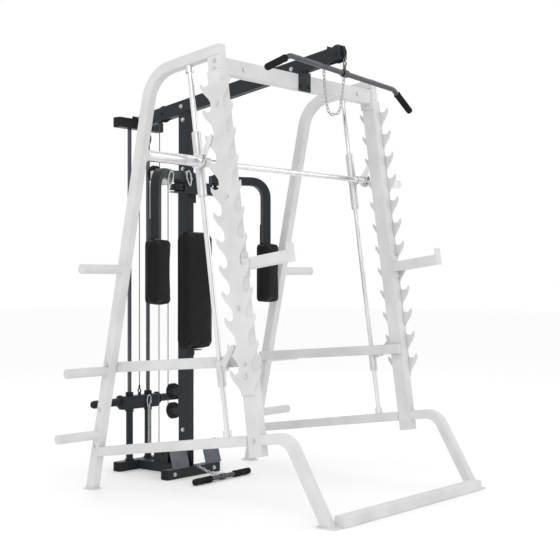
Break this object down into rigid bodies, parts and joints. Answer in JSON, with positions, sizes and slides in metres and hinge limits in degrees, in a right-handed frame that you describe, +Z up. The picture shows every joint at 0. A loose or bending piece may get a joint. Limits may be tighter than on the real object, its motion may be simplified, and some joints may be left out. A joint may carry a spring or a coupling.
{
  "type": "multi station home gym",
  "caption": "Half rack with a guided barbell and toothed uprights, carrying a rear pulley tower with lat bar, butterfly arms, back pad and low row handle.",
  "frame": {"origin": "on the floor, at the middle of the machine's bounding box", "axes": "+X to the user's right, +Y to the rear (the pulley tower's side), +Z up"},
  "size_m": [1.952, 1.83, 2.1535],
  "materials": {
    "pale_powder_coat": "satin powder coat, very light grey",
    "charcoal_coat": "fine textured powder coat, charcoal",
    "chrome": "polished",
    "zinc": "zinc plated",
    "black_vinyl": "grained upholstery vinyl",
    "black_rubber": "matte, ribbed",
    "black_plastic": "moulded nylon",
    "steel_cable": "stranded wire"
  },
  "bodies": {
    "root": {"left_rear_frame": "pale_powder_coat", "right_rear_frame": "pale_powder_coat", "left_upright": "pale_powder_coat", "right_upright": "pale_powder_coat", "left_gun_rack": "pale_powder_coat", "right_gun_rack": "pale_powder_coat", "left_front_leg": "pale_powder_coat", "right_front_leg": "pale_powder_coat", "left_base_rail": "pale_powder_coat", "right_base_rail": "pale_powder_coat", "left_mid_rail": "pale_powder_coat", "right_mid_rail": "pale_powder_coat", "left_guide_rod": "chrome", "right_guide_rod": "chrome", "left_safety_arm": "pale_powder_coat", "right_safety_arm": "pale_powder_coat", "left_carriage_rod": "chrome", "right_carriage_rod": "chrome", "left_foot_tread": "zinc", "right_foot_tread": "zinc", "front_floor_bar": "pale_powder_coat", "top_crossbeam": "pale_powder_coat", "tower_base": "charcoal_coat", "column": "charcoal_coat", "lat_beam": "charcoal_coat", "rod_top_bar": "charcoal_coat", "floating_block": "zinc", "lat_cable": "steel_cable", "low_cable": "steel_cable", "arm_cable": "steel_cable", "back_pad": "black_vinyl", "yoke": "charcoal_coat", "spare_chain": "zinc"},
    "bar_carriage": {"left_bar_bearing": "zinc", "right_bar_bearing": "zinc"},
    "smith_bar": {"smith_bar": "chrome"},
    "left_safety_stop": {"left_safety_stop": "zinc"},
    "right_safety_stop": {"right_safety_stop": "zinc"},
    "left_stop_hook": {"left_stop_hook": "zinc"},
    "right_stop_hook": {"right_stop_hook": "zinc"},
    "weight_carriage": {"carriage": "charcoal_coat"},
    "left_arm": {"left_arm": "charcoal_coat", "left_arm_pad": "black_vinyl"},
    "right_arm": {"right_arm": "charcoal_coat", "right_arm_pad": "black_vinyl"},
    "lat_bar": {"lat_bar": "chrome", "left_lat_grip": "black_rubber", "right_lat_grip": "black_rubber"},
    "low_handle": {"low_handle": "chrome", "left_low_grip": "black_rubber", "right_low_grip": "black_rubber", "low_chain": "zinc"},
    "beam_rear_pulley": {"beam_rear_pulley": "black_plastic"},
    "floating_pulley": {"floating_pulley": "black_plastic"},
    "beam_mid_pulley": {"beam_mid_pulley": "black_plastic"},
    "beam_front_pulley": {"beam_front_pulley": "black_plastic"},
    "base_pulley": {"base_pulley": "black_plastic"},
    "low_pulley": {"low_pulley": "black_plastic"},
    "column_pulley_upper": {"column_pulley_upper": "black_plastic"},
    "column_pulley_lower": {"column_pulley_lower": "black_plastic"}
  },
  "joints": [
    {"name": "smith_bar_slide", "type": "slide", "parent": "root", "child": "bar_carriage", "axis": [0, 0.1392, 0.9903], "range_m": [-0.59, 0.118]},
    {"name": "smith_bar_roll", "type": "hinge", "parent": "bar_carriage", "child": "smith_bar", "pos_m": [0, -0.1639, 1.5649], "axis": [-1, 0, 0], "range_deg": [0, 35]},
    {"name": "left_stop_slide", "type": "slide", "parent": "root", "child": "left_safety_stop", "axis": [0, 0.1392, 0.9903], "range_m": [-0.118, 0.59]},
    {"name": "left_stop_hook_tilt", "type": "hinge", "parent": "left_safety_stop", "child": "left_stop_hook", "pos_m": [-0.63, -0.28741, 0.64301], "axis": [-1, 0, 0], "range_deg": [0, 35]},
    {"name": "right_stop_slide", "type": "slide", "parent": "root", "child": "right_safety_stop", "axis": [0, 0.1392, 0.9903], "range_m": [-0.118, 0.59]},
    {"name": "right_stop_hook_tilt", "type": "hinge", "parent": "right_safety_stop", "child": "right_stop_hook", "pos_m": [0.63, -0.28741, 0.64301], "axis": [-1, 0, 0], "range_deg": [0, 35]},
    {"name": "weight_carriage_slide", "type": "slide", "parent": "root", "child": "weight_carriage", "axis": [0, 0, 1], "range_m": [0, 0.75], "deforming": ["lat_cable"]},
    {"name": "lat_bar_pull", "type": "slide", "parent": "root", "child": "lat_bar", "axis": [0, 0, -1], "range_m": [0, 0.75], "deforming": ["lat_cable"]},
    {"name": "low_handle_pull", "type": "slide", "parent": "root", "child": "low_handle", "axis": [0, -1, 0], "range_m": [0, 0.45]},
    {"name": "left_arm_swing", "type": "hinge", "parent": "root", "child": "left_arm", "pos_m": [-0.15, 0.46, 1.5675], "axis": [0, 0, 1], "range_deg": [-10, 70]},
    {"name": "right_arm_swing", "type": "hinge", "parent": "root", "child": "right_arm", "pos_m": [0.15, 0.46, 1.5675], "axis": [0, 0, 1], "range_deg": [-70, 10]},
    {"name": "beam_rear_pulley_spin", "type": "hinge", "parent": "root", "child": "beam_rear_pulley", "pos_m": [0, 0.8462, 1.805], "axis": [1, 0, 0], "range_deg": [0, 1120]},
    {"name": "beam_mid_pulley_spin", "type": "hinge", "parent": "root", "child": "beam_mid_pulley", "pos_m": [0, 0.691, 1.92589], "axis": [1, 0, 0], "range_deg": [0, 1120]},
    {"name": "beam_front_pulley_spin", "type": "hinge", "parent": "root", "child": "beam_front_pulley", "pos_m": [0, -0.465, 2.10946], "axis": [1, 0, 0], "range_deg": [0, 1120]},
    {"name": "floating_pulley_spin", "type": "hinge", "parent": "root", "child": "floating_pulley", "pos_m": [0, 0.7686, 1.61], "axis": [1, 0, 0], "range_deg": [-1120, 0]},
    {"name": "base_pulley_spin", "type": "hinge", "parent": "root", "child": "base_pulley", "pos_m": [0, 0.6955, 0.095], "axis": [1, 0, 0], "range_deg": [-680, 0]},
    {"name": "low_pulley_spin", "type": "hinge", "parent": "root", "child": "low_pulley", "pos_m": [0, 0.532, 0.095], "axis": [1, 0, 0], "range_deg": [-680, 0]},
    {"name": "column_pulley_upper_spin", "type": "hinge", "parent": "root", "child": "column_pulley_upper", "pos_m": [0, 0.627, 0.4355], "axis": [1, 0, 0], "range_deg": [-70, 12]},
    {"name": "column_pulley_lower_spin", "type": "hinge", "parent": "root", "child": "column_pulley_lower", "pos_m": [0, 0.627, 0.334], "axis": [1, 0, 0], "range_deg": [-70, 12]}
  ],
  "couplings": [
    {"joint": "lat_bar_pull", "follows": "weight_carriage_slide", "ratio": 1},
    {"joint": "beam_rear_pulley_spin", "follows": "weight_carriage_slide", "rad_per_m": 25.773},
    {"joint": "beam_mid_pulley_spin", "follows": "weight_carriage_slide", "rad_per_m": 25.773},
    {"joint": "beam_front_pulley_spin", "follows": "weight_carriage_slide", "rad_per_m": 25.773},
    {"joint": "floating_pulley_spin", "follows": "weight_carriage_slide", "rad_per_m": -25.773},
    {"joint": "base_pulley_spin", "follows": "low_handle_pull", "rad_per_m": -25.773},
    {"joint": "low_pulley_spin", "follows": "low_handle_pull", "rad_per_m": -25.773},
    {"joint": "column_pulley_upper_spin", "follows": "right_arm_swing", "ratio": 0.9278},
    {"joint": "column_pulley_lower_spin", "follows": "right_arm_swing", "ratio": 0.9278}
  ]
}
